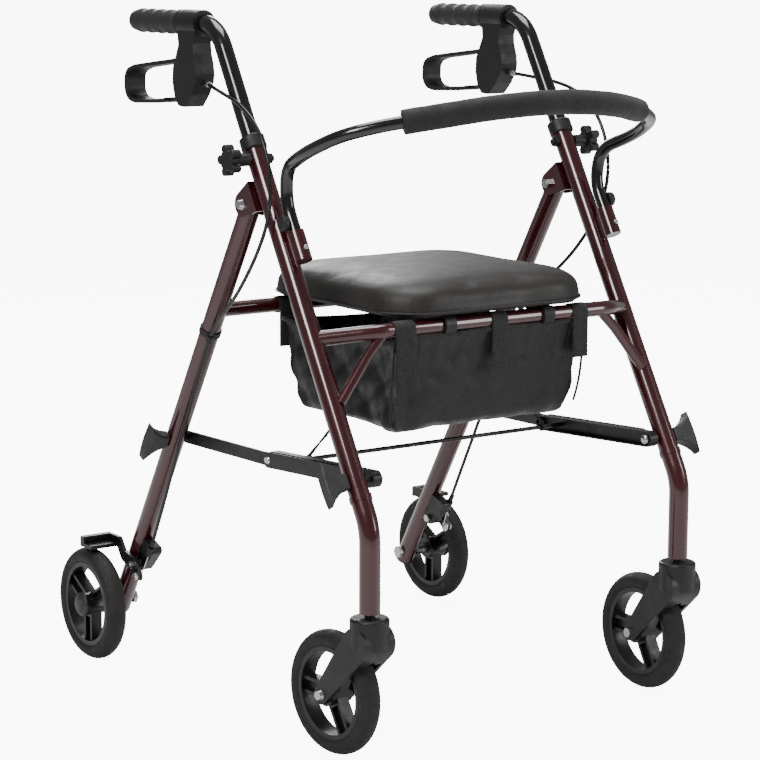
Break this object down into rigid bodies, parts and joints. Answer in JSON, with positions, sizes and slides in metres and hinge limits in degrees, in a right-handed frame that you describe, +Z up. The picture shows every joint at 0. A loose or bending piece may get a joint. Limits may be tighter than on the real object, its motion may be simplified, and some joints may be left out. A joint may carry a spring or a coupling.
{
  "type": "rollator walker",
  "caption": "Folding rollator with swivel casters, braked rear wheels, padded seat, bag, bowed backrest and height-adjustable handles.",
  "frame": {"origin": "floor level under the middle of the bounding box", "axes": "-Y is the front where the casters are, +X is the user's left, +Z is up"},
  "size_m": [0.6152, 0.7082, 0.8771],
  "materials": {
    "frame_paint": "metallic gloss",
    "black_gloss_tube": "gloss",
    "black_steel": "satin",
    "black_plastic": "textured",
    "rim_plastic": "satin",
    "tyre": "matte",
    "fasteners": "zinc",
    "grip_rubber": "matte",
    "foam": "matte",
    "cable_black": "satin",
    "seat_board": "satin",
    "seat_vinyl": "satin vinyl",
    "bag_fabric": "coated nylon",
    "webbing": "woven"
  },
  "bodies": {
    "main_frame": {"main_tube_right": "frame_paint", "main_tube_left": "frame_paint", "lower_legs": "frame_paint", "front_crossbar": "frame_paint", "pivot_brackets": "frame_paint", "pivot_bolts": "fasteners", "backrest_sockets": "frame_paint", "tube_collars": "black_plastic", "backrest_tube": "black_gloss_tube", "backrest_foam": "foam", "backrest_stop_knobs": "black_plastic", "bag": "bag_fabric", "bag_straps": "webbing", "brake_cable_upper_right": "cable_black", "brake_cable_upper_left": "cable_black"},
    "rear_frame": {"rear_leg_right": "frame_paint", "rear_leg_left": "frame_paint", "leg_plugs": "black_plastic", "rear_crossbar": "frame_paint", "rear_axles": "fasteners", "brake_brackets": "frame_paint", "brake_bolts": "fasteners", "cable_clips": "black_plastic", "brake_cable_lower_right": "cable_black", "brake_cable_lower_left": "cable_black"},
    "brace_front": {"brace_front_links": "black_steel", "knee_rivets": "fasteners"},
    "brace_rear": {"brace_rear_links": "black_steel"},
    "seat": {"seat_base": "seat_board", "seat_cushion": "seat_vinyl"},
    "handle_right": {"handle_tube_right": "black_gloss_tube", "grip_right": "grip_rubber", "brake_housing_right": "black_plastic"},
    "lever_right": {"brake_lever_right": "black_plastic"},
    "height_knob_right": {"star_knob_right": "black_plastic"},
    "brake_right": {"brake_arm_right": "black_steel"},
    "wing_front_right": {"wing_knob_front_right": "black_plastic"},
    "wing_rear_right": {"wing_knob_rear_right": "black_plastic"},
    "caster_right": {"fork_right": "black_plastic", "front_axle_right": "fasteners"},
    "front_wheel_right": {"front_rim_right": "rim_plastic", "front_tyre_right": "tyre"},
    "rear_wheel_right": {"rear_rim_right": "rim_plastic", "rear_tyre_right": "tyre"},
    "button_right": {"snap_button_right": "fasteners"},
    "handle_left": {"handle_tube_left": "black_gloss_tube", "grip_left": "grip_rubber", "brake_housing_left": "black_plastic"},
    "lever_left": {"brake_lever_left": "black_plastic"},
    "height_knob_left": {"star_knob_left": "black_plastic"},
    "brake_left": {"brake_arm_left": "black_steel"},
    "wing_front_left": {"wing_knob_front_left": "black_plastic"},
    "wing_rear_left": {"wing_knob_rear_left": "black_plastic"},
    "caster_left": {"fork_left": "black_plastic", "front_axle_left": "fasteners"},
    "front_wheel_left": {"front_rim_left": "rim_plastic", "front_tyre_left": "tyre"},
    "rear_wheel_left": {"rear_rim_left": "rim_plastic", "rear_tyre_left": "tyre"},
    "button_left": {"snap_button_left": "fasteners"}
  },
  "joints": [
    {"name": "fold", "type": "hinge", "parent": "main_frame", "child": "rear_frame", "pos_m": [0, -0.0558, 0.6456], "axis": [-1, 0, 0], "range_deg": [0, 37], "deforming": ["bag", "bag_straps", "brake_cable_lower_right", "brake_cable_lower_left"]},
    {"name": "brace_front_fold", "type": "hinge", "parent": "main_frame", "child": "brace_front", "pos_m": [0, -0.2788, 0.33896], "axis": [1, 0, 0], "range_deg": [0, 43.4]},
    {"name": "brace_rear_fold", "type": "hinge", "parent": "rear_frame", "child": "brace_rear", "pos_m": [0, 0.13329, 0.32304], "axis": [-1, 0, 0], "range_deg": [0, 47.9]},
    {"name": "seat_lift", "type": "hinge", "parent": "main_frame", "child": "seat", "pos_m": [0, -0.233, 0.5045], "axis": [1, 0, 0], "range_deg": [0, 75]},
    {"name": "handle_height_right", "type": "slide", "parent": "main_frame", "child": "handle_right", "axis": [0, 0.5, 0.866], "range_m": [0, 0.15], "deforming": ["brake_cable_upper_right"]},
    {"name": "lever_squeeze_right", "type": "hinge", "parent": "handle_right", "child": "lever_right", "pos_m": [-0.24, 0.088, 0.812], "axis": [1, 0, 0], "range_deg": [0, 14], "stiffness_Nm_per_rad": 1, "springref_deg": -17.19},
    {"name": "brake_press_right", "type": "hinge", "parent": "rear_frame", "child": "brake_right", "pos_m": [-0.24, 0.21603, 0.1384], "axis": [-1, 0, 0], "range_deg": [0, 2.1]},
    {"name": "height_knob_turn_right", "type": "hinge", "parent": "main_frame", "child": "height_knob_right", "pos_m": [-0.24, -0.06965, 0.70122], "axis": [-1, 0, 0], "continuous": true},
    {"name": "wing_front_turn_right", "type": "hinge", "parent": "main_frame", "child": "wing_front_right", "pos_m": [-0.24, -0.2788, 0.33896], "axis": [-1, 0, 0], "continuous": true},
    {"name": "wing_rear_turn_right", "type": "hinge", "parent": "rear_frame", "child": "wing_rear_right", "pos_m": [-0.24, 0.13329, 0.32304], "axis": [-1, 0, 0], "continuous": true},
    {"name": "caster_swivel_right", "type": "hinge", "parent": "main_frame", "child": "caster_right", "pos_m": [-0.24, -0.3084, 0.187], "axis": [0, 0, 1], "continuous": true},
    {"name": "front_roll_right", "type": "hinge", "parent": "caster_right", "child": "front_wheel_right", "pos_m": [-0.24558, -0.24464, 0.0762], "axis": [-0.9962, -0.0872, 0], "continuous": true},
    {"name": "rear_roll_right", "type": "hinge", "parent": "rear_frame", "child": "rear_wheel_right", "pos_m": [-0.2876, 0.278, 0.0762], "axis": [-1, 0, 0], "continuous": true},
    {"name": "button_press_right", "type": "slide", "parent": "main_frame", "child": "button_right", "axis": [0, 0.866, -0.5], "range_m": [0, 0.003], "stiffness_N_per_m": 300, "springref_m": -0.001},
    {"name": "handle_height_left", "type": "slide", "parent": "main_frame", "child": "handle_left", "axis": [0, 0.5, 0.866], "range_m": [0, 0.15], "deforming": ["brake_cable_upper_left"]},
    {"name": "lever_squeeze_left", "type": "hinge", "parent": "handle_left", "child": "lever_left", "pos_m": [0.24, 0.088, 0.812], "axis": [1, 0, 0], "range_deg": [0, 14], "stiffness_Nm_per_rad": 1, "springref_deg": -17.19},
    {"name": "brake_press_left", "type": "hinge", "parent": "rear_frame", "child": "brake_left", "pos_m": [0.24, 0.21603, 0.1384], "axis": [-1, 0, 0], "range_deg": [0, 2.1]},
    {"name": "height_knob_turn_left", "type": "hinge", "parent": "main_frame", "child": "height_knob_left", "pos_m": [0.24, -0.06965, 0.70122], "axis": [1, 0, 0], "continuous": true},
    {"name": "wing_front_turn_left", "type": "hinge", "parent": "main_frame", "child": "wing_front_left", "pos_m": [0.24, -0.2788, 0.33896], "axis": [1, 0, 0], "continuous": true},
    {"name": "wing_rear_turn_left", "type": "hinge", "parent": "rear_frame", "child": "wing_rear_left", "pos_m": [0.24, 0.13329, 0.32304], "axis": [1, 0, 0], "continuous": true},
    {"name": "caster_swivel_left", "type": "hinge", "parent": "main_frame", "child": "caster_left", "pos_m": [0.24, -0.3084, 0.187], "axis": [0, 0, 1], "continuous": true},
    {"name": "front_roll_left", "type": "hinge", "parent": "caster_left", "child": "front_wheel_left", "pos_m": [0.24168, -0.24442, 0.0762], "axis": [0.9997, -0.0262, 0], "continuous": true},
    {"name": "rear_roll_left", "type": "hinge", "parent": "rear_frame", "child": "rear_wheel_left", "pos_m": [0.2876, 0.278, 0.0762], "axis": [1, 0, 0], "continuous": true},
    {"name": "button_press_left", "type": "slide", "parent": "main_frame", "child": "button_left", "axis": [0, 0.866, -0.5], "range_m": [0, 0.003], "stiffness_N_per_m": 300, "springref_m": -0.001}
  ],
  "couplings": [
    {"joint": "brace_front_fold", "follows": "fold", "ratio": 1.14},
    {"joint": "brace_rear_fold", "follows": "fold", "ratio": 1.2576},
    {"joint": "brake_press_right", "follows": "lever_squeeze_right", "ratio": 0.15},
    {"joint": "brake_press_left", "follows": "lever_squeeze_left", "ratio": 0.15}
  ]
}
